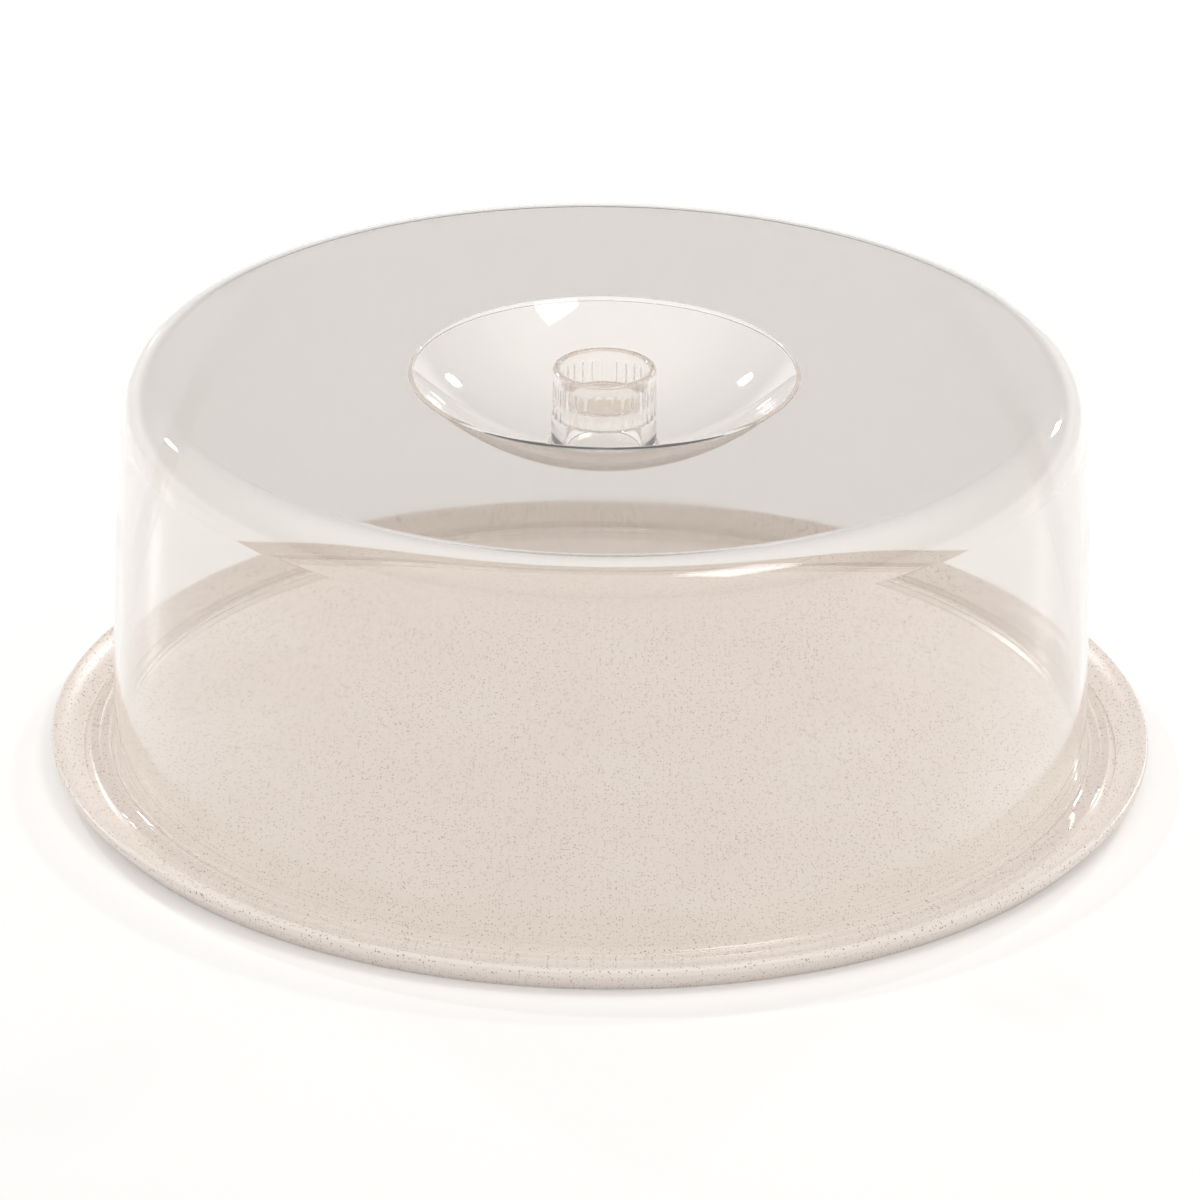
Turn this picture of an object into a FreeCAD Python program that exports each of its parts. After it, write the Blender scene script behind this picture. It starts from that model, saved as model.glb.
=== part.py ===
"""Cake cover: a clear domed lid with a sunk finger bowl and a fluted knob, standing on a shallow round plate.

Millimetres. +Z is up, and the origin is the middle of the plate's foot, on the surface that it stands on.
Each piece is turned about the Z axis from a sketch of radius (x) against height (y), measured from the piece's
own underside. Its Placement then lifts it to the seat that it stands on.
"""
import FreeCAD, Part
import math
import os

import Sketcher
from FreeCAD import Vector

# Driving dimensions: alias, size, what it is.
DIMENSIONS = [
    ("plate_radius", 156.2, "outermost radius of the plate's rim"),
    ("plate_height", 8.2, "top of the rim above the foot"),
    ("plate_foot_inset", 5.5, "how far the foot ring stands in from the rim"),
    ("plate_foot_width", 2.4, "width of the foot ring's flat"),
    ("plate_floor_height", 3.2, "top of the plate's floor above the foot"),
    ("plate_floor_wall", 2.2, "thickness of the floor"),
    ("plate_lip_width", 1.8, "width of the rim's crest"),
    ("plate_lip_drop", 2.0, "height of the upright band below the rim's crest"),
    ("plate_lip_round", 0.8, "edge radius of the rim"),
    ("plate_slope_width", 7.4, "how far the rim's hollow slope runs in from the crest"),
    ("plate_slope_arc", 14.0, "radius of the hollow slope's curve"),
    ("plate_step_height", 0.8, "upright step between the floor and the slope, round the dome's seat"),
    ("plate_groove_height", 3.0, "depth of the cored ring behind the foot"),
    ("plate_groove_width", 1.0, "width of the cored ring's top"),
    ("plate_groove_slant", 4.0, "how far the cored ring slants in to the floor's underside"),
    ("seat_clearance", 1.6, "radial play of the flange inside the plate's step"),
    ("flange_width", 6.5, "how far the dome's foot flange stands out of the wall"),
    ("flange_wall", 1.8, "thickness of the flange"),
    ("flange_cove", 2.2, "hollow curve between the flange and the wall"),
    ("bead_width", 2.9, "width of the raised bead along the flange's edge"),
    ("bead_height", 0.9, "how far the bead stands up from the flange"),
    ("bead_round", 0.7, "edge radius of the bead"),
    ("wall_foot_round", 1.2, "edge radius of the dome's opening, inside the wall"),
    ("dome_wall", 2.0, "thickness of the dome"),
    ("dome_height", 114.2, "top of the shoulder above the flange's underside"),
    ("dome_draft", 2.6, "how far the wall leans in from the flange to the top"),
    ("dome_shoulder", 12.5, "outer curve between the wall and the top"),
    ("dome_crown", 0.3, "rise of the top from the shoulder to the bowl's rim"),
    ("bowl_radius", 53.9, "radius of the finger bowl's rim"),
    ("bowl_depth", 23.2, "depth of the finger bowl below its rim"),
    ("bowl_rim_round", 0.6, "edge radius of the bowl's rim"),
    ("bowl_under_round", 0.8, "hollow curve under the bowl's rim"),
    ("gate_radius", 1.6, "radius of the moulding's gate mark under the bowl"),
    ("gate_height", 0.4, "how far the gate mark stands down"),
    ("collar_height", 10.3, "top of the collar above the bowl's lowest point"),
    ("collar_cove", 1.2, "hollow curve at the collar's foot"),
    ("collar_ledge", 0.15, "how far the collar stands out past the knob's ribs"),
    ("spigot_wall", 1.7, "thickness of the spigot that the knob sits over"),
    ("spigot_height", 4.5, "height of the spigot above the collar"),
    ("spigot_clearance", 0.06, "radial play between the spigot and the knob's bore"),
    ("knob_radius", 14.6, "outer radius of the knob over its ribs"),
    ("knob_bore_radius", 12.4, "radius of the knob's bore"),
    ("knob_height", 14.0, "height of the knob"),
    ("knob_lip_round", 1.0, "edge radius of the knob's rim"),
    ("flute_count", 30, "number of flutes round the knob"),
    ("flute_radius", 1.4, "radius of a flute's round section"),
    ("flute_depth", 0.5, "depth of a flute"),
    ("flute_top_gap", 2.8, "plain band between the flutes and the knob's top"),
    ("small_round", 0.4, "radius that breaks the sharp edges"),
]

doc = FreeCAD.newDocument("cake_cover")
dims = doc.addObject("Spreadsheet::Sheet", "dims")
for row, (alias, size, meaning) in enumerate(DIMENSIONS, start=1):
    dims.set(f"A{row}", alias)
    dims.set(f"B{row}", str(size))
    dims.set(f"C{row}", meaning)
    dims.setAlias(f"B{row}", alias)
doc.recompute()

# Sizes that two pieces share, as expressions of the driving dimensions.
STEP = "(dims.plate_radius - dims.plate_lip_width - dims.plate_slope_width)"
COLLAR = "(dims.knob_radius + dims.collar_ledge)"
SPIGOT = "(dims.knob_bore_radius - dims.spigot_clearance)"
BOWL_RIM = "(dims.dome_height + dims.dome_crown)"
BOWL_FLOOR = f"({BOWL_RIM} - dims.bowl_depth)"
LEDGE = f"({BOWL_FLOOR} + dims.collar_height)"


def value(expression):
    """The number that an expression comes to."""
    return float(dims.evalExpression(expression))


def origin_feature(body, role):
    """The body's own origin plane or axis with that role."""
    return next(feature for feature in body.Origin.OriginFeatures if feature.Role == role)


def arc_between(start, end, radius, bulge):
    """A circular arc between two points. bulge is 1 where it swells to the left of start to end, else -1."""
    chord = end - start
    left = Vector(-chord.y, chord.x, 0).normalize()
    centre = (start + end) * 0.5 - left * bulge * math.sqrt(radius ** 2 - (chord.Length / 2) ** 2)
    first, last = (end, start) if bulge > 0 else (start, end)
    angles = [math.atan2(point.y - centre.y, point.x - centre.x) for point in (first, last)]
    return Part.ArcOfCircle(Part.Circle(centre, Vector(0, 0, 1), radius), angles[0], angles[1])


def bind(sketch, constraint, name, expression):
    """Adds a constraint under a name and ties its size to the sheet."""
    index = sketch.addConstraint(constraint)
    sketch.renameConstraint(index, name)
    sketch.setExpression(f"Constraints.{name}", expression)


def pin_corner(sketch, geometry, end, corner):
    """Holds a corner at its radius and height, or on the axis or the base line where one of them is 0."""
    name, radius, height = corner[:3]
    for kind, line, word, size in (("DistanceX", -2, "radius", radius), ("DistanceY", -1, "height", height)):
        if size == "0":
            sketch.addConstraint(Sketcher.Constraint("PointOnObject", geometry, end, line))
        else:
            constraint = Sketcher.Constraint(kind, -1, 1, geometry, end, value(size))
            bind(sketch, constraint, f"{name}_{word}", size)


def profile(body, name, corners):
    """A closed sketch on the XZ plane through (name, radius, height) corners.

    A corner with a fourth entry, (arc radius, bulge), is joined to the next one by an arc instead of a line.
    """
    sketch = body.newObject("Sketcher::SketchObject", name)
    sketch.AttachmentSupport = (origin_feature(body, "XZ_Plane"), [""])
    sketch.MapMode = "FlatFace"
    points = [Vector(value(corner[1]), value(corner[2]), 0) for corner in corners]
    ends = []
    for index, corner in enumerate(corners):
        start, end = points[index], points[(index + 1) % len(points)]
        if len(corner) == 3:
            sketch.addGeometry(Part.LineSegment(start, end), False)
            ends.append((1, 2))
        else:
            radius, bulge = corner[3]
            sketch.addGeometry(arc_between(start, end, value(radius), bulge), False)
            ends.append((2, 1) if bulge > 0 else (1, 2))
    for index in range(len(corners)):
        after = (index + 1) % len(corners)
        sketch.addConstraint(Sketcher.Constraint("Coincident", index, ends[index][1], after, ends[after][0]))
    for index, corner in enumerate(corners):
        pin_corner(sketch, index, ends[index][0], corner)
        if len(corner) == 4:
            radius = corner[3][0]
            bind(sketch, Sketcher.Constraint("Radius", index, value(radius)), f"{corner[0]}_arc", radius)
    return sketch


def turned(body, sketch, name):
    """The profile turned a full circle about the Z axis."""
    feature = body.newObject("PartDesign::Revolution", name)
    feature.Profile = sketch
    feature.ReferenceAxis = (sketch, ["V_Axis"])
    feature.Angle = 360
    doc.recompute()


def rounded(body, name, size, corners):
    """Rounds the circular edges at the given (radius, height) corners, all with one radius."""
    base = body.Tip
    wanted = [(value(radius), value(height)) for radius, height in corners]
    found = []
    for index, edge in enumerate(base.Shape.Edges, start=1):
        if edge.Degenerated or not isinstance(edge.Curve, Part.Circle):
            continue
        radius, height = edge.Curve.Radius, edge.Curve.Center.z
        if any(abs(radius - r) < 1e-4 and abs(height - z) < 1e-4 for r, z in wanted):
            found.append(f"Edge{index}")
    if len(found) != len(wanted):
        raise RuntimeError(f"{name}: {len(found)} edges found for {len(wanted)} corners")
    feature = body.newObject("PartDesign::Fillet", name)
    feature.Base = (base, found)
    feature.setExpression("Radius", size)
    doc.recompute()


def make_plate():
    """The shallow plate: a flat floor, a step, a hollow slope up to a rounded lip, and a cored ring inside its foot."""
    body = doc.addObject("PartDesign::Body", "serving_plate")
    floor = "dims.plate_floor_height"
    step_top = "(dims.plate_floor_height + dims.plate_step_height)"
    crest = "(dims.plate_radius - dims.plate_lip_width)"
    lip_foot = "(dims.plate_height - dims.plate_lip_drop)"
    lean = f"(dims.plate_foot_inset / {lip_foot})"
    foot = "(dims.plate_radius - dims.plate_foot_inset)"
    foot_inside = f"({foot} - dims.plate_foot_width)"
    groove_outside = f"({foot_inside} + {lean} * dims.plate_groove_height)"
    groove_inside = f"({groove_outside} - dims.plate_groove_width)"
    under = "(dims.plate_floor_height - dims.plate_floor_wall)"
    sketch = profile(body, "plate_profile", [
        ("floor_middle", "0", floor),
        ("step_foot", STEP, floor),
        ("step_top", STEP, step_top, ("dims.plate_slope_arc", -1)),
        ("crest_inside", crest, "dims.plate_height"),
        ("crest_outside", "dims.plate_radius", "dims.plate_height"),
        ("lip_foot", "dims.plate_radius", lip_foot),
        ("foot_outside", foot, "0"),
        ("foot_inside", foot_inside, "0"),
        ("groove_outside", groove_outside, "dims.plate_groove_height"),
        ("groove_inside", groove_inside, "dims.plate_groove_height"),
        ("groove_foot", f"({groove_inside} - dims.plate_groove_slant)", under),
        ("under_middle", "0", under),
    ])
    turned(body, sketch, "plate_turned")
    rounded(body, "plate_lip", "dims.plate_lip_round", [
        (crest, "dims.plate_height"),
        ("dims.plate_radius", "dims.plate_height"),
        ("dims.plate_radius", lip_foot),
    ])
    rounded(body, "plate_edges", "dims.small_round", [(STEP, step_top), (foot, "0")])
    return body


def make_dome():
    """The clear dome: beaded flange, leaning wall, round shoulder and top, sunk to a finger bowl with a collar."""
    body = doc.addObject("PartDesign::Body", "dome_cover")
    flange_edge = f"({STEP} - dims.seat_clearance)"
    bead_inside = f"({flange_edge} - dims.bead_width)"
    bead_top = "(dims.flange_wall + dims.bead_height)"
    wall_foot = f"({flange_edge} - dims.flange_width)"
    wall_top = f"({wall_foot} - dims.dome_draft)"
    inner_foot = f"({wall_foot} - dims.dome_wall)"
    inner_top = f"({wall_top} - dims.dome_wall)"
    ceiling = "(dims.dome_height - dims.dome_wall)"
    ceiling_rim = f"({BOWL_RIM} - dims.dome_wall)"
    spigot_top = f"({LEDGE} + dims.spigot_height)"
    hollow = f"({SPIGOT} - dims.spigot_wall)"
    bowl_arc = "((dims.bowl_radius^2 + dims.bowl_depth^2) / (2 * dims.bowl_depth))"
    under_arc = f"({bowl_arc} + dims.dome_wall)"
    under_rim = f"sqrt(dims.bowl_depth * (2 * {under_arc} - dims.bowl_depth))"
    bowl_middle = f"({BOWL_FLOOR} + {bowl_arc})"
    collar_foot = f"({bowl_middle} - sqrt({bowl_arc}^2 - {COLLAR}^2))"
    hollow_foot = f"({bowl_middle} - sqrt({bowl_arc}^2 - {hollow}^2))"
    gate_root = f"({bowl_middle} - sqrt({under_arc}^2 - dims.gate_radius^2))"
    gate_end = f"({gate_root} - dims.gate_height)"
    sketch = profile(body, "dome_profile", [
        ("flange_bottom", flange_edge, "0"),
        ("bead_outside", flange_edge, bead_top),
        ("bead_inside", bead_inside, bead_top),
        ("bead_foot", bead_inside, "dims.flange_wall"),
        ("wall_foot", wall_foot, "dims.flange_wall"),
        ("shoulder", wall_top, "dims.dome_height"),
        ("bowl_rim", "dims.bowl_radius", BOWL_RIM, (bowl_arc, 1)),
        ("collar_foot", COLLAR, collar_foot),
        ("ledge_outside", COLLAR, LEDGE),
        ("ledge_inside", SPIGOT, LEDGE),
        ("spigot_outside", SPIGOT, spigot_top),
        ("spigot_inside", hollow, spigot_top),
        ("hollow_foot", hollow, hollow_foot, (bowl_arc, 1)),
        ("bowl_floor", "0", BOWL_FLOOR),
        ("gate_middle", "0", gate_end),
        ("gate_end", "dims.gate_radius", gate_end),
        ("gate_root", "dims.gate_radius", gate_root, (under_arc, -1)),
        ("under_rim", under_rim, ceiling_rim),
        ("ceiling", inner_top, ceiling),
        ("inner_foot", inner_foot, "0"),
    ])
    turned(body, sketch, "dome_turned")
    rounded(body, "shoulder", "dims.dome_shoulder", [(wall_top, "dims.dome_height")])
    rounded(body, "ceiling", "dims.dome_shoulder - dims.dome_wall", [(inner_top, ceiling)])
    rounded(body, "bowl_rim", "dims.bowl_rim_round", [("dims.bowl_radius", BOWL_RIM)])
    rounded(body, "bowl_under", "dims.bowl_under_round", [(under_rim, ceiling_rim)])
    rounded(body, "flange_cove", "dims.flange_cove", [(wall_foot, "dims.flange_wall")])
    rounded(body, "bead", "dims.bead_round", [(flange_edge, bead_top), (bead_inside, bead_top)])
    rounded(body, "wall_foot", "dims.wall_foot_round", [(inner_foot, "0")])
    rounded(body, "collar_cove", "dims.collar_cove", [(COLLAR, collar_foot)])
    rounded(body, "dome_edges", "dims.small_round", [
        (flange_edge, "0"),
        (bead_inside, "dims.flange_wall"),
        (SPIGOT, spigot_top),
        (hollow, spigot_top),
        (hollow, hollow_foot),
    ])
    body.setExpression("Placement.Base.z", "dims.plate_floor_height")
    return body


def make_knob():
    """The knob: an open ring that sits over the spigot, with round-ended flutes cut up from its lower edge."""
    body = doc.addObject("PartDesign::Body", "finger_knob")
    sketch = profile(body, "knob_profile", [
        ("seat_inside", "dims.knob_bore_radius", "0"),
        ("seat_outside", "dims.knob_radius", "0"),
        ("top_outside", "dims.knob_radius", "dims.knob_height"),
        ("top_inside", "dims.knob_bore_radius", "dims.knob_height"),
    ])
    turned(body, sketch, "knob_turned")
    rounded(body, "knob_lip", "dims.knob_lip_round", [
        ("dims.knob_radius", "dims.knob_height"),
        ("dims.knob_bore_radius", "dims.knob_height"),
    ])
    plain = body.Shape.Volume
    cut_flutes(body)
    if body.Shape.Volume > 0.99 * plain:
        raise RuntimeError("the flutes cut nothing")
    body.setExpression("Placement.Base.z", f"dims.plate_floor_height + {LEDGE}")
    return body


def cut_flutes(body):
    """One ball-ended flute, turned about its own upright line and repeated round the knob."""
    line = "(dims.knob_radius - dims.flute_depth + dims.flute_radius)"
    side = f"({line} + dims.flute_radius)"
    end = "(dims.knob_height - dims.flute_top_gap)"
    sketch = profile(body, "flute_profile", [
        ("flute_foot", line, "0"),
        ("flute_side", side, "0"),
        ("flute_ball", side, f"({end} - dims.flute_radius)", ("dims.flute_radius", -1)),
        ("flute_end", line, end),
    ])
    spine = Part.LineSegment(Vector(value(line), 0, 0), Vector(value(line), value(end), 0))
    axis = sketch.addGeometry(spine, True)
    sketch.addConstraint(Sketcher.Constraint("Coincident", axis, 1, 0, 1))
    sketch.addConstraint(Sketcher.Constraint("Coincident", axis, 2, 3, 1))
    flute = body.newObject("PartDesign::Groove", "flute")
    flute.Profile = sketch
    flute.ReferenceAxis = (sketch, ["Axis0"])
    flute.Angle = 360
    doc.recompute()
    flutes = body.newObject("PartDesign::PolarPattern", "flutes")
    flutes.Originals = [flute]
    flutes.Axis = (origin_feature(body, "Z_Axis"), [""])
    flutes.Angle = 360
    flutes.setExpression("Occurrences", "dims.flute_count")
    body.Tip = flutes
    doc.recompute()


def check(bodies):
    """Stops the build if an object failed, a sketch is loose or a piece isn't one sound solid."""
    for item in doc.Objects:
        if {"Invalid", "Error"} & set(item.State):
            raise RuntimeError(f"{item.Label} failed: {item.State}")
        if item.TypeId == "Sketcher::SketchObject" and not item.FullyConstrained:
            raise RuntimeError(f"{item.Label} isn't fully constrained")
    for body in bodies:
        if body.Shape.isNull() or not body.Shape.isValid() or len(body.Shape.Solids) != 1:
            raise RuntimeError(f"{body.Label} isn't one sound solid")


pieces = [make_plate(), make_dome(), make_knob()]
doc.recompute()
check(pieces)
os.makedirs("parts", exist_ok=True)
for piece in pieces:
    piece.Shape.exportStep(f"parts/{piece.Label}.step")
    box = piece.Shape.optimalBoundingBox(False)
    print(f"{piece.Label}: {box.XLength:.1f} x {box.YLength:.1f} x {box.ZLength:.1f} mm, from z {box.ZMin:.2f},"
          f" {piece.Shape.Volume / 1000:.1f} cm3, {len(piece.Shape.Faces)} faces")
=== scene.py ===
# %% [markdown]
# # A cake cover in clear and speckled plastic
# A shallow speckled plate carries a clear dome. The dome's top is sunk to a round finger bowl, and a
# fluted ring stands in the bowl as its knob. The solids are loaded first, in metres and in their own
# places, so each piece below is made where its solid is.

# %% Load the solids
import math

import bmesh
import bpy
from mathutils import Matrix, Vector


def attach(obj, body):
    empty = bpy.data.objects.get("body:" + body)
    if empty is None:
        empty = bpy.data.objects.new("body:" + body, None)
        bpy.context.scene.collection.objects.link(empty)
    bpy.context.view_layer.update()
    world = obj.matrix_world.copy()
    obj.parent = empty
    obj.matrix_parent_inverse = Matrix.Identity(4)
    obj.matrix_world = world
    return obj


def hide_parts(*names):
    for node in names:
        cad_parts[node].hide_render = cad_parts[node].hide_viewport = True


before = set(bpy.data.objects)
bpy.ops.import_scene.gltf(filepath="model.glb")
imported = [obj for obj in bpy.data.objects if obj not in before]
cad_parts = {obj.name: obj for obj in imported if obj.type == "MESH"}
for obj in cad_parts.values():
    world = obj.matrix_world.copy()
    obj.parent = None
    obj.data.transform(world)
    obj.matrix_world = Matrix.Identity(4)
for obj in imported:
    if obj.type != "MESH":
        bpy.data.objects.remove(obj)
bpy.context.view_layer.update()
scene = bpy.context.scene
scene.view_settings.view_transform = "Standard"

# %% [markdown]
# ## Camera
# The cover is seen from about 25 degrees above the table, through a long lens that keeps its ellipses
# nearly parallel. A long lens far away and a short lens close by can frame the same object, but only the
# long one keeps the plate's front and back rims in proportion. The camera leans a fraction of a degree,
# as it does in the picture that the part was measured from.

# %% Camera
CAMERA_DISTANCE = 2.5
CAMERA_ELEVATION = math.radians(24.48)
CAMERA_LEAN = math.radians(0.69)
AIM = Vector((-0.0005, 0, 0.04698))
LENS_MM = 264.6
SENSOR_MM = 36
FAR_CLIP = 50

camera_data = bpy.data.cameras.new("long_lens")
camera_data.lens = LENS_MM
camera_data.sensor_width = SENSOR_MM
camera_data.clip_end = FAR_CLIP
camera = bpy.data.objects.new("long_lens", camera_data)
scene.collection.objects.link(camera)
towards_camera = Vector((0, -math.cos(CAMERA_ELEVATION), math.sin(CAMERA_ELEVATION)))
camera.location = AIM + CAMERA_DISTANCE * towards_camera
tilt = Matrix.Rotation(math.radians(90) - CAMERA_ELEVATION, 3, "X")
lean = Matrix.Rotation(CAMERA_LEAN, 3, "Z")
camera.rotation_euler = (tilt @ lean).to_euler()
scene.camera = camera
print("camera at", [round(value, 3) for value in camera.location])

# %% [markdown]
# ## Profiles that are turned
# All three pieces are bodies of revolution, as from a lathe or a round mould. A piece could be cut from
# primitive shapes, but a profile that is spun once round the axis gives clean rings of faces and keeps
# every fillet. A profile is a pen line on the XZ plane: straight runs join named corners, an arc is a
# point spun about the arc's centre, and a corner is rounded by bevelling its vertex.


# %% Pen for a profile
def pen_start(mesh, radius, height):
    """The first corner of a profile."""
    return mesh.verts.new((radius, 0, height))


def pen_line(mesh, last, radius, height):
    """A straight run from the last corner to a new one."""
    corner = mesh.verts.new((radius, 0, height))
    mesh.edges.new((last, corner))
    return corner


def pen_arc(mesh, last, radius, height, curve, steps):
    """An arc to a new corner: the last point is spun about a centre that lies above the arc."""
    end = Vector((radius, 0, height))
    chord = end - last.co
    way = 1 if chord.x > 0 else -1
    up = Vector((-chord.z, 0, chord.x)).normalized() * way
    centre = (last.co + end) / 2 + up * math.sqrt(curve ** 2 - chord.length_squared / 4)
    turn = -way * (last.co - centre).angle(end - centre)
    swept = bmesh.ops.spin(mesh, geom=[last], cent=centre, axis=(0, 1, 0), angle=turn, steps=steps)
    return next(item for item in swept["geom_last"] if isinstance(item, bmesh.types.BMVert))


def round_corner(mesh, corner, radius, segments):
    """Rounds a corner. The run that its arc takes from each side follows from the corner's turn."""
    ends = [edge.other_vert(corner).co - corner.co for edge in corner.link_edges]
    turn = math.pi - ends[0].angle(ends[1])
    run = radius * math.tan(turn / 2)
    bmesh.ops.bevel(
        mesh, geom=[corner], offset=run, offset_type="OFFSET", segments=segments, profile=0.5,
        affect="VERTICES", material=-1, clamp_overlap=True,
    )


# %% Spin a profile into a piece
AROUND = 240
SAME_POINT = 1e-6
SLIVER = 1e-7
SHARP_ANGLE = 40
print("a step of the spin is", 360 / AROUND, "degrees")


def spin_profile(mesh, steps=AROUND):
    """The closed profile turned once about Z, with its seam and poles merged and its faces outwards."""
    bmesh.ops.spin(
        mesh, geom=mesh.verts[:] + mesh.edges[:], cent=(0, 0, 0), axis=(0, 0, 1),
        angle=math.tau, steps=steps, use_merge=True,
    )
    bmesh.ops.remove_doubles(mesh, verts=mesh.verts, dist=SAME_POINT)
    bmesh.ops.dissolve_degenerate(mesh, edges=mesh.edges, dist=SLIVER)
    bmesh.ops.recalc_face_normals(mesh, faces=mesh.faces)


def finish_piece(mesh, name, sharp_angle=SHARP_ANGLE):
    """A smooth-shaded object from the mesh. Weighted normals keep flat walls flat beside small fillets."""
    data = bpy.data.meshes.new(name)
    mesh.to_mesh(data)
    mesh.free()
    data.shade_smooth()
    data.set_sharp_from_angle(angle=math.radians(sharp_angle))
    piece = bpy.data.objects.new(name, data)
    scene.collection.objects.link(piece)
    shading = piece.modifiers.new("even_shading", "WEIGHTED_NORMAL")
    shading.mode = "FACE_AREA"
    shading.weight = 50
    shading.keep_sharp = True
    size = [round(1000 * value, 1) for value in piece.dimensions]
    print(name, "faces:", len(data.polygons), "size mm:", size)
    return piece


# %% [markdown]
# ## The plate
# A shallow moulded plate: a flat floor, a low step that keeps the dome in the middle, a hollow slope and
# a rounded lip. Behind the foot a ring is cored out, so that the wall is as thick there as elsewhere. A
# disc could be inset and raised ring by ring, but each height would then hang on the one before it. In
# one closed profile every corner has its own name and place.

# %% Plate sizes
FLOOR_HEIGHT = 0.0032
STEP_RADIUS = 0.147
STEP_RISE = 0.0008
SLOPE_CURVE = 0.014
SLOPE_STEPS = 10
RIM_RADIUS = 0.1562
RIM_HEIGHT = 0.0082
LIP_WIDTH = 0.0018
LIP_DEPTH = 0.002
LIP_ROUND = 0.0008
FOOT_RADIUS = 0.1507
FOOT_WIDTH = 0.0024
CORE_OUTSIDE = 0.15096
CORE_INSIDE = 0.14996
CORE_FOOT = 0.14596
CORE_HEIGHT = 0.003
UNDERSIDE = 0.001
SMALL_ROUND = 0.0004
EDGE_SEGMENTS = 6
SMALL_SEGMENTS = 4
print("plate floor mm:", round(1000 * (FLOOR_HEIGHT - UNDERSIDE), 2), "thick")


# %% Plate
def make_plate():
    """The speckled plate, turned from one closed profile."""
    mesh = bmesh.new()
    middle = pen_start(mesh, 0, FLOOR_HEIGHT)
    step_foot = pen_line(mesh, middle, STEP_RADIUS, FLOOR_HEIGHT)
    step_top = pen_line(mesh, step_foot, STEP_RADIUS, FLOOR_HEIGHT + STEP_RISE)
    crest = pen_arc(mesh, step_top, RIM_RADIUS - LIP_WIDTH, RIM_HEIGHT, SLOPE_CURVE, SLOPE_STEPS)
    rim = pen_line(mesh, crest, RIM_RADIUS, RIM_HEIGHT)
    lip_foot = pen_line(mesh, rim, RIM_RADIUS, RIM_HEIGHT - LIP_DEPTH)
    foot = pen_line(mesh, lip_foot, FOOT_RADIUS, 0)
    foot_inside = pen_line(mesh, foot, FOOT_RADIUS - FOOT_WIDTH, 0)
    core = pen_line(mesh, foot_inside, CORE_OUTSIDE, CORE_HEIGHT)
    core_inside = pen_line(mesh, core, CORE_INSIDE, CORE_HEIGHT)
    core_foot = pen_line(mesh, core_inside, CORE_FOOT, UNDERSIDE)
    under = pen_line(mesh, core_foot, 0, UNDERSIDE)
    mesh.edges.new((under, middle))
    for corner in (crest, rim, lip_foot):
        round_corner(mesh, corner, LIP_ROUND, EDGE_SEGMENTS)
    for corner in (step_top, foot):
        round_corner(mesh, corner, SMALL_ROUND, SMALL_SEGMENTS)
    spin_profile(mesh)
    return finish_piece(mesh, "speckled_plate")


plate = make_plate()
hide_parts("serving_plate")
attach(plate, "plate")

# %% [markdown]
# ## The dome
# The dome is one clear moulding with a wall of even thickness: a beaded flange, a wall that leans in, a
# round shoulder, a nearly flat top and a bowl that is part of a sphere. Both its faces are needed, because
# light bends at each of them. A Solidify modifier could add the second face, but it would blunt the flange
# and the collar, so the profile goes up the outside, through the bowl and back down the inside.
#
# The dome's foot presses a hair's breadth into the plate, and the knob into the collar and its spigot. A
# sheet of air left behind a clear face acts as a mirror, and the flange would show the dark end of the
# room instead of the plate that it stands on.

# %% Dome sizes
PRESSED = 0.00003
SEATED = FLOOR_HEIGHT - PRESSED
WALL = 0.002
FLANGE_RADIUS = 0.1454
FLANGE_HEIGHT = 0.0018
BEAD_INSIDE = 0.1425
BEAD_HEIGHT = 0.0027
WALL_FOOT = 0.1389
WALL_TOP = 0.1363
TOP_HEIGHT = 0.1174
print("dome leans in by mm:", round(1000 * (WALL_FOOT - WALL_TOP), 1))

# %% Bowl and collar sizes
BOWL_RADIUS = 0.0539
BOWL_RIM = 0.1177
BOWL_DEPTH = 0.0232
BOWL_SPHERE = (BOWL_RADIUS ** 2 + BOWL_DEPTH ** 2) / (2 * BOWL_DEPTH)
BOWL_CENTRE = BOWL_RIM - BOWL_DEPTH + BOWL_SPHERE
BOWL_STEPS = 22
BOWL_FLOOR_STEPS = 5
UNDER_STEPS = 28
COLLAR_RADIUS = 0.01475
LEDGE_HEIGHT = 0.1048
KNOB_BORE = 0.0124
SPIGOT_RADIUS = KNOB_BORE + PRESSED
SPIGOT_TOP = 0.1093
HOLLOW_RADIUS = 0.01064
GATE_RADIUS = 0.0016
GATE_DEPTH = 0.0004
print("bowl sphere mm:", round(1000 * BOWL_SPHERE, 2))

# %% Dome
SHOULDER_ROUND = 0.0125
SHOULDER_SEGMENTS = 24
BOWL_RIM_ROUND = 0.0006
UNDER_RIM_ROUND = 0.0008
WALL_FOOT_ROUND = 0.0022
WALL_FOOT_SEGMENTS = 10
BEAD_ROUND = 0.0007
ROOT_ROUND = 0.0012


def bowl_height(radius, sphere):
    """The height of the bowl's round face, or of its underside, at a radius."""
    return BOWL_CENTRE - math.sqrt(sphere ** 2 - radius ** 2)


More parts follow.
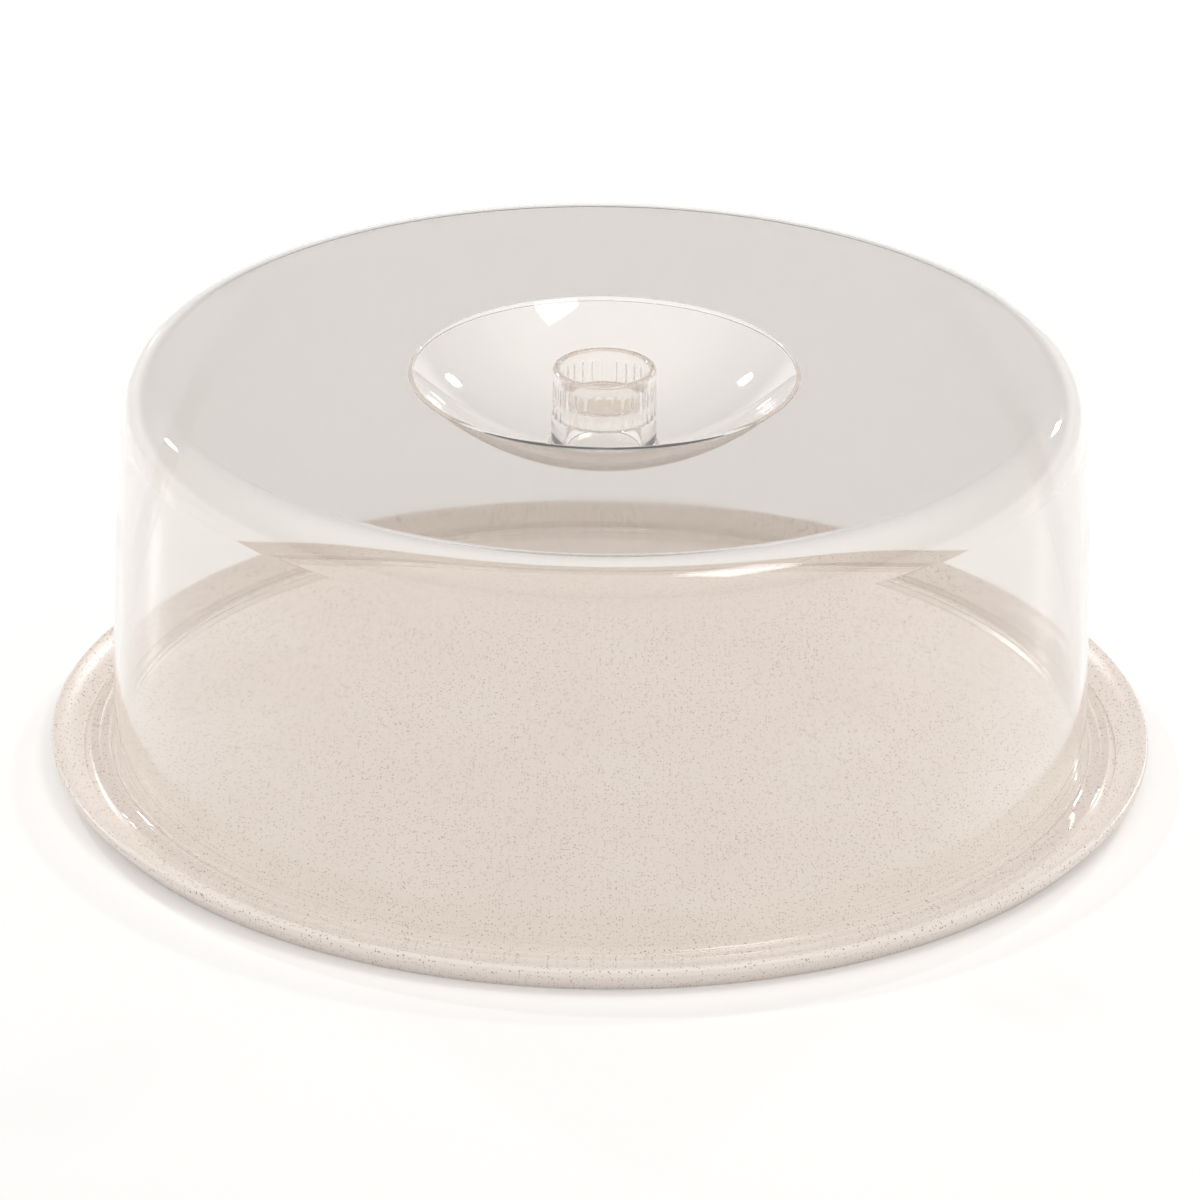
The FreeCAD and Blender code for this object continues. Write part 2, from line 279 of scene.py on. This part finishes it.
def make_dome():
    """The clear dome, turned from one closed profile that follows both faces of its wall."""
    mesh = bmesh.new()
    flange = pen_start(mesh, FLANGE_RADIUS, SEATED)
    bead = pen_line(mesh, flange, FLANGE_RADIUS, FLOOR_HEIGHT + BEAD_HEIGHT)
    bead_inside = pen_line(mesh, bead, BEAD_INSIDE, FLOOR_HEIGHT + BEAD_HEIGHT)
    bead_foot = pen_line(mesh, bead_inside, BEAD_INSIDE, FLOOR_HEIGHT + FLANGE_HEIGHT)
    wall_foot = pen_line(mesh, bead_foot, WALL_FOOT, FLOOR_HEIGHT + FLANGE_HEIGHT)
    shoulder = pen_line(mesh, wall_foot, WALL_TOP, TOP_HEIGHT)
    bowl_rim = pen_line(mesh, shoulder, BOWL_RADIUS, BOWL_RIM)
    collar_height = bowl_height(COLLAR_RADIUS, BOWL_SPHERE)
    collar_foot = pen_arc(mesh, bowl_rim, COLLAR_RADIUS, collar_height, BOWL_SPHERE, BOWL_STEPS)
    ledge = pen_line(mesh, collar_foot, COLLAR_RADIUS, LEDGE_HEIGHT)
    ledge_inside = pen_line(mesh, ledge, SPIGOT_RADIUS, LEDGE_HEIGHT)
    spigot = pen_line(mesh, ledge_inside, SPIGOT_RADIUS, SPIGOT_TOP)
    spigot_inside = pen_line(mesh, spigot, HOLLOW_RADIUS, SPIGOT_TOP)
    hollow_foot = pen_line(mesh, spigot_inside, HOLLOW_RADIUS, bowl_height(HOLLOW_RADIUS, BOWL_SPHERE))
    bowl_floor = pen_arc(mesh, hollow_foot, 0, BOWL_RIM - BOWL_DEPTH, BOWL_SPHERE, BOWL_FLOOR_STEPS)
    under_sphere = BOWL_SPHERE + WALL
    gate_height = bowl_height(GATE_RADIUS, under_sphere)
    gate_middle = pen_line(mesh, bowl_floor, 0, gate_height - GATE_DEPTH)
    gate_edge = pen_line(mesh, gate_middle, GATE_RADIUS, gate_height - GATE_DEPTH)
    gate_root = pen_line(mesh, gate_edge, GATE_RADIUS, gate_height)
    under_radius = math.sqrt(BOWL_DEPTH * (2 * under_sphere - BOWL_DEPTH))
    under_rim = pen_arc(mesh, gate_root, under_radius, BOWL_RIM - WALL, under_sphere, UNDER_STEPS)
    ceiling = pen_line(mesh, under_rim, WALL_TOP - WALL, TOP_HEIGHT - WALL)
    inner_foot = pen_line(mesh, ceiling, WALL_FOOT - WALL, SEATED)
    mesh.edges.new((inner_foot, flange))
    for corner, radius, segments in (
        (shoulder, SHOULDER_ROUND, SHOULDER_SEGMENTS),
        (ceiling, SHOULDER_ROUND - WALL, SHOULDER_SEGMENTS),
        (bowl_rim, BOWL_RIM_ROUND, EDGE_SEGMENTS),
        (under_rim, UNDER_RIM_ROUND, EDGE_SEGMENTS),
        (wall_foot, WALL_FOOT_ROUND, WALL_FOOT_SEGMENTS),
        (bead, BEAD_ROUND, EDGE_SEGMENTS),
        (bead_inside, BEAD_ROUND, EDGE_SEGMENTS),
        (bead_foot, SMALL_ROUND, SMALL_SEGMENTS),
        (inner_foot, ROOT_ROUND, EDGE_SEGMENTS),
        (flange, SMALL_ROUND, SMALL_SEGMENTS),
        (collar_foot, ROOT_ROUND, EDGE_SEGMENTS),
        (spigot, SMALL_ROUND, SMALL_SEGMENTS),
        (spigot_inside, SMALL_ROUND, SMALL_SEGMENTS),
        (hollow_foot, SMALL_ROUND, SMALL_SEGMENTS),
    ):
        round_corner(mesh, corner, radius, segments)
    spin_profile(mesh)
    return finish_piece(mesh, "clear_dome")


dome = make_dome()
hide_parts("dome_cover")
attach(dome, "cover")

# %% [markdown]
# ## The knob
# The knob is a ring with thirty upright flutes that stop short of its rounded top. Each flute could be cut
# away with a boolean, but the ring already has a column of points for every degree, so each point on its
# outside is pushed in to the flute's round floor instead, and the flute's end fades like a ball's.

# %% Knob sizes
KNOB_SEAT = LEDGE_HEIGHT - PRESSED
KNOB_RADIUS = 0.0146
KNOB_TOP = 0.1188
KNOB_ROUND = 0.001
KNOB_SEGMENTS = 8
KNOB_SHARP_ANGLE = 50
OUTSIDE_MARGIN = 1e-5
FLUTES = 30
COLUMNS_PER_FLUTE = 12
FLUTE_ROUND = 0.0014
FLUTE_DEPTH = 0.0005
FLUTE_STOP = 0.0028
FLUTE_BALL = KNOB_TOP - FLUTE_STOP - FLUTE_ROUND
BALL_ROWS = (0.0, 0.0004, 0.0008, 0.0011, FLUTE_ROUND)
print("a flute every", 360 / FLUTES, "degrees")


# %% Knob
def flute_push(point):
    """How far a point on the knob's outside goes in: a round floor, and a ball at the flute's end."""
    pitch = math.tau / FLUTES
    turn = math.atan2(point.y, point.x)
    across = KNOB_RADIUS * (turn - pitch * round(turn / pitch))
    above = max(0, point.z - FLUTE_BALL)
    room = FLUTE_ROUND ** 2 - across ** 2 - above ** 2
    return max(0, FLUTE_DEPTH - FLUTE_ROUND + math.sqrt(room)) if room > 0 else 0


def make_knob():
    """The fluted ring, turned from a profile with extra rows where the flutes end."""
    mesh = bmesh.new()
    first = pen_start(mesh, KNOB_BORE, KNOB_SEAT)
    last = pen_line(mesh, first, KNOB_RADIUS, KNOB_SEAT)
    for height in BALL_ROWS:
        last = pen_line(mesh, last, KNOB_RADIUS, FLUTE_BALL + height)
    outside = pen_line(mesh, last, KNOB_RADIUS, KNOB_TOP)
    inside = pen_line(mesh, outside, KNOB_BORE, KNOB_TOP)
    mesh.edges.new((inside, first))
    for corner in (outside, inside):
        round_corner(mesh, corner, KNOB_ROUND, KNOB_SEGMENTS)
    spin_profile(mesh, FLUTES * COLUMNS_PER_FLUTE)
    for vertex in mesh.verts:
        radius = vertex.co.xy.length
        if radius > KNOB_RADIUS - OUTSIDE_MARGIN:
            vertex.co.xy *= (radius - flute_push(vertex.co)) / radius
    return finish_piece(mesh, "fluted_knob", KNOB_SHARP_ANGLE)


knob = make_knob()
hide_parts("finger_knob")
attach(knob, "cover")

# %% [markdown]
# ## Speckled plastic
# The plate is off-white plastic with grains of darker plastic in it, which makes it look like stoneware.
# Painted dots would need a picture, so cells of a Voronoi pattern stand for the grains: each cell draws a
# dot of its own size about its centre, or none. A dense fine dust, fewer rust grains and a few charcoal
# ones lie on three patterns. They are read from the object's own coordinates, so they run through the
# plastic as grains do.


# %% Node helpers
def new_material(name):
    """An empty node material and its tree."""
    material = bpy.data.materials.new(name)
    material.use_nodes = True
    material.node_tree.nodes.clear()
    return material, material.node_tree


def add_node(tree, kind, inputs=None, **settings):
    """A node with its settings. An input is fed by another node's socket, or set to a constant."""
    node = tree.nodes.new(kind)
    for name, setting in settings.items():
        setattr(node, name, setting)
    for socket, source in (inputs or {}).items():
        if isinstance(source, bpy.types.NodeSocket):
            tree.links.new(source, node.inputs[socket])
        else:
            node.inputs[socket].default_value = source
    return node


def maths(tree, operation, first, second):
    """The result of a Math node on two sockets or numbers."""
    return add_node(tree, "ShaderNodeMath", {0: first, 1: second}, operation=operation).outputs["Value"]


def spread(tree, value, low, high, new_low, new_high, curve="LINEAR"):
    """The result of a Map Range node: low becomes new_low, and high becomes new_high."""
    node = add_node(
        tree, "ShaderNodeMapRange",
        {"Value": value, "From Min": low, "From Max": high, "To Min": new_low, "To Max": new_high},
        interpolation_type=curve,
    )
    return node.outputs["Result"]


def noise(tree, place, scale, detail):
    """A soft random pattern."""
    pattern = add_node(tree, "ShaderNodeTexNoise", {"Vector": place, "Scale": scale, "Detail": detail})
    return pattern.outputs["Fac"]


def give(piece, material):
    """The piece's only material."""
    piece.data.materials.clear()
    piece.data.materials.append(material)
    print(piece.name, "is", material.name, "nodes:", len(material.node_tree.nodes))


# %% Speckles
DOT_CURVE = 0.35
DOT_EDGE = 0.03
# The places of the Mix node's sockets for colours.
MIX_FACTOR = 0
MIX_BELOW = 6
MIX_ABOVE = 7
MIX_COLOUR = 2


def speckles(tree, place, cells, biggest, share):
    """A mask of dots: one about the centre of each Voronoi cell, in a share of the cells."""
    pattern = add_node(tree, "ShaderNodeTexVoronoi", {"Vector": place, "Scale": cells, "Randomness": 1.0})
    chance = add_node(tree, "ShaderNodeSeparateColor", {"Color": pattern.outputs["Color"]}).outputs["Red"]
    draw = spread(tree, chance, 1 - share, 1.0, 0.0, 1.0)
    fullness = maths(tree, "POWER", draw, DOT_CURVE)
    radius = maths(tree, "MULTIPLY", fullness, biggest)
    room = maths(tree, "SUBTRACT", radius, pattern.outputs["Distance"])
    return spread(tree, room, 0.0, DOT_EDGE, 0.0, 1.0)


def tint(tree, below, mask, colour):
    """A colour laid over another where the mask is white."""
    inputs = {MIX_FACTOR: mask, MIX_BELOW: below, MIX_ABOVE: colour}
    return add_node(tree, "ShaderNodeMix", inputs, data_type="RGBA").outputs[MIX_COLOUR]


# %% Plate material
OFF_WHITE = (0.92, 0.83, 0.765, 1)
CREAM = (0.93, 0.86, 0.805, 1)
CHARCOAL = (0.17, 0.15, 0.14, 1)
RUST = (0.36, 0.24, 0.19, 1)
DUST = (0.42, 0.30, 0.25, 1)
# Cells in a metre, the biggest dot's radius in cells, the share of cells with a dot, and its colour.
GRAINS = (
    (1150.0, 0.30, 0.8, DUST),
    (600.0, 0.18, 0.6, RUST),
    (260.0, 0.085, 0.6, CHARCOAL),
)
CLOUD_SCALE = 24.0
CLOUD_DETAIL = 3.0
CLOUD_RANGE = (0.3, 0.7)
SATIN = (0.29, 0.38)
SKIN_SCALE = 900.0
SKIN_DETAIL = 2.0
SKIN_STRENGTH = 0.08
SKIN_DEPTH = 0.0002
PLATE_IOR = 1.5


def speckled_plastic():
    """Off-white plastic with charcoal and rust grains, a fine dust and a satin skin."""
    material, tree = new_material("speckled_plastic")
    place = add_node(tree, "ShaderNodeTexCoord").outputs["Object"]
    cloud = noise(tree, place, CLOUD_SCALE, CLOUD_DETAIL)
    colour = tint(tree, OFF_WHITE, cloud, CREAM)
    for cells, biggest, share, shade in GRAINS:
        colour = tint(tree, colour, speckles(tree, place, cells, biggest, share), shade)
    sheen = spread(tree, cloud, *CLOUD_RANGE, *SATIN)
    grain = noise(tree, place, SKIN_SCALE, SKIN_DETAIL)
    skin = add_node(
        tree, "ShaderNodeBump", {"Height": grain, "Strength": SKIN_STRENGTH, "Distance": SKIN_DEPTH},
    )
    surface = add_node(
        tree, "ShaderNodeBsdfPrincipled",
        {"Base Color": colour, "Roughness": sheen, "Normal": skin.outputs["Normal"], "IOR": PLATE_IOR},
    )
    add_node(tree, "ShaderNodeOutputMaterial", {"Surface": surface.outputs["BSDF"]})
    return material


give(plate, speckled_plastic())

# %% [markdown]
# ## Clear plastic
# The dome and the knob are clear hard plastic. A glass that also blocks lamps would throw a black shadow
# on the plate, and tracing the light that it bends is slow, so for shadow rays and for light that is
# already scattered the plastic is a plain tinted filter. What the camera sees is still bent and mirrored
# by both faces. Some light runs on between the two faces for dozens of bounces before it gets out at an
# edge. It would be given up as black, so after five bounces it is let out where it is.

# %% Clear material
TRAPPED_AFTER = 4.5
CLEAR_IOR = 1.49
HANDLING_SCALE = 30.0
HANDLING_DETAIL = 4.0
HANDLING_RANGE = (0.35, 0.75)
FLOW_SCALE = 26.0
FLOW_DETAIL = 1.0
WAVE_DEPTH = 0.001
FILTER = (0.97, 0.965, 0.96, 1)
DOME_CLEAR = (0.905, 0.89, 0.875, 1)
KNOB_CLEAR = (0.975, 0.96, 0.945, 1)


def clear_plastic(name, colour, waviness, clearest, dullest):
    """Clear plastic with a faintly wavy, lightly handled skin."""
    material, tree = new_material(name)
    place = add_node(tree, "ShaderNodeTexCoord").outputs["Object"]
    handling = noise(tree, place, HANDLING_SCALE, HANDLING_DETAIL)
    gloss = spread(tree, handling, *HANDLING_RANGE, clearest, dullest)
    flow = noise(tree, place, FLOW_SCALE, FLOW_DETAIL)
    waves = add_node(
        tree, "ShaderNodeBump", {"Height": flow, "Strength": waviness, "Distance": WAVE_DEPTH},
    )
    surface = add_node(
        tree, "ShaderNodeBsdfPrincipled",
        {
            "Base Color": colour, "Roughness": gloss, "Normal": waves.outputs["Normal"],
            "IOR": CLEAR_IOR, "Transmission Weight": 1.0,
        },
    )
    through = add_node(tree, "ShaderNodeBsdfTransparent", {"Color": FILTER})
    ray = add_node(tree, "ShaderNodeLightPath").outputs
    scattered = maths(tree, "MAXIMUM", ray["Is Shadow Ray"], ray["Is Diffuse Ray"])
    trapped = maths(tree, "GREATER_THAN", ray["Ray Depth"], TRAPPED_AFTER)
    plain = maths(tree, "MAXIMUM", scattered, trapped)
    choice = add_node(
        tree, "ShaderNodeMixShader", {0: plain, 1: surface.outputs["BSDF"], 2: through.outputs["BSDF"]},
    )
    add_node(tree, "ShaderNodeOutputMaterial", {"Surface": choice.outputs["Shader"]})
    return material


give(dome, clear_plastic("clear_dome_plastic", DOME_CLEAR, waviness=0.02, clearest=0.012, dullest=0.05))
give(knob, clear_plastic("clear_knob_plastic", KNOB_CLEAR, waviness=0.01, clearest=0.06, dullest=0.12))

# %% [markdown]
# ## Floor
# The part stands on a plain white table that fills the view. Lamps strong enough to burn the table white
# would also burn the plate, so the table is a pale matt sheet that glows a little for the camera and for
# what is seen in and through the plastic. The rest of its white comes from the lamps, so it still takes a
# shadow.

# %% Floor
TABLE_HALF = 6
TABLE_WHITE = (0.85, 0.85, 0.85, 1)
FLOOR_GLOW = 0.22


def make_floor():
    """A white table top, wide enough to fill the view."""
    mesh = bmesh.new()
    bmesh.ops.create_grid(mesh, x_segments=1, y_segments=1, size=TABLE_HALF)
    data = bpy.data.meshes.new("table_top")
    mesh.to_mesh(data)
    mesh.free()
    table = bpy.data.objects.new("table_top", data)
    scene.collection.objects.link(table)
    material, tree = new_material("white_table")
    ray = add_node(tree, "ShaderNodeLightPath").outputs
    seen = maths(tree, "MAXIMUM", ray["Is Camera Ray"], ray["Is Glossy Ray"])
    seen = maths(tree, "MAXIMUM", seen, ray["Is Transmission Ray"])
    light = add_node(tree, "ShaderNodeEmission", {"Strength": maths(tree, "MULTIPLY", seen, FLOOR_GLOW)})
    matt = add_node(tree, "ShaderNodeBsdfDiffuse", {"Color": TABLE_WHITE})
    both = add_node(tree, "ShaderNodeAddShader", {0: matt.outputs["BSDF"], 1: light.outputs["Emission"]})
    add_node(tree, "ShaderNodeOutputMaterial", {"Surface": both.outputs["Shader"]})
    give(table, material)
    return table


make_floor()

# %% [markdown]
# ## Lamps and sky
# Clear plastic is seen by what it mirrors. An even white room would make it vanish, so two small round
# lamps behind the dome draw bright spots on its shoulder and in its bowl, and a square soft box, high on
# the right of the camera, draws a pale patch in the bowl. The rest of the light is the sky: a wide ceiling
# light that leans to the camera's side, low white screens all round, and grey between them for the dome's
# flat top to mirror.

# %% Lamps
LAMP_AIM = Vector((0, 0, 0.08))


def lamp(name, azimuth, elevation, distance, size, energy, shape):
    """A soft lamp aimed at the dome. Azimuth 0 is the camera's side, and it grows to the right."""
    light = bpy.data.lights.new(name, "AREA")
    light.shape = shape
    light.size = size
    light.energy = energy
    fitting = bpy.data.objects.new(name, light)
    scene.collection.objects.link(fitting)
    turn = math.radians(azimuth)
    rise = math.radians(elevation)
    away = Vector((math.sin(turn) * math.cos(rise), -math.cos(turn) * math.cos(rise), math.sin(rise)))
    fitting.location = LAMP_AIM + distance * away
    fitting.rotation_euler = (-away).to_track_quat("-Z", "Y").to_euler()
    print(name, "at", [round(value, 2) for value in fitting.location])


lamp("rear_left", azimuth=-142, elevation=30, distance=1.6, size=0.1, energy=5, shape="DISK")
lamp("rear_right", azimuth=147, elevation=23, distance=1.6, size=0.1, energy=5, shape="DISK")
lamp("front_box", azimuth=50, elevation=62, distance=1.8, size=0.5, energy=4.5, shape="SQUARE")

# %% Sky
LOW_LIGHT = 0.18
CEILING_LIGHT = 1.08
CEILING_WAY = (0, -0.36, 0.933)
CEILING_EDGE = (0.4, 0.92)
SCREEN_LIGHT = 0.74
SCREEN_EDGE = (0.14, 0.33)
WARM_WHITE = (1.0, 0.97, 0.94, 1)
PLAIN_WHITE = (1.0, 1.0, 1.0, 1)


def make_sky():
    """A grey room with a wide ceiling light that leans to the camera's side, and low white screens."""
    sky = bpy.data.worlds.new("studio")
    sky.use_nodes = True
    tree = sky.node_tree
    tree.nodes.clear()
    way = add_node(tree, "ShaderNodeTexCoord").outputs["Generated"]
    towards = add_node(tree, "ShaderNodeVectorMath", {0: way, 1: CEILING_WAY}, operation="DOT_PRODUCT")
    ceiling = spread(
        tree, towards.outputs["Value"], *CEILING_EDGE, LOW_LIGHT, CEILING_LIGHT, curve="SMOOTHSTEP",
    )
    height = add_node(tree, "ShaderNodeSeparateXYZ", {"Vector": way}).outputs["Z"]
    screens = spread(tree, height, *SCREEN_EDGE, SCREEN_LIGHT, 0.0, curve="SMOOTHSTEP")
    above = add_node(tree, "ShaderNodeBackground", {"Strength": ceiling, "Color": WARM_WHITE})
    around = add_node(tree, "ShaderNodeBackground", {"Strength": screens, "Color": PLAIN_WHITE})
    lights = {0: above.outputs["Background"], 1: around.outputs["Background"]}
    both = add_node(tree, "ShaderNodeAddShader", lights)
    add_node(tree, "ShaderNodeOutputWorld", {"Surface": both.outputs["Shader"]})
    print("sky nodes:", len(tree.nodes))
    return sky


scene.world = make_sky()
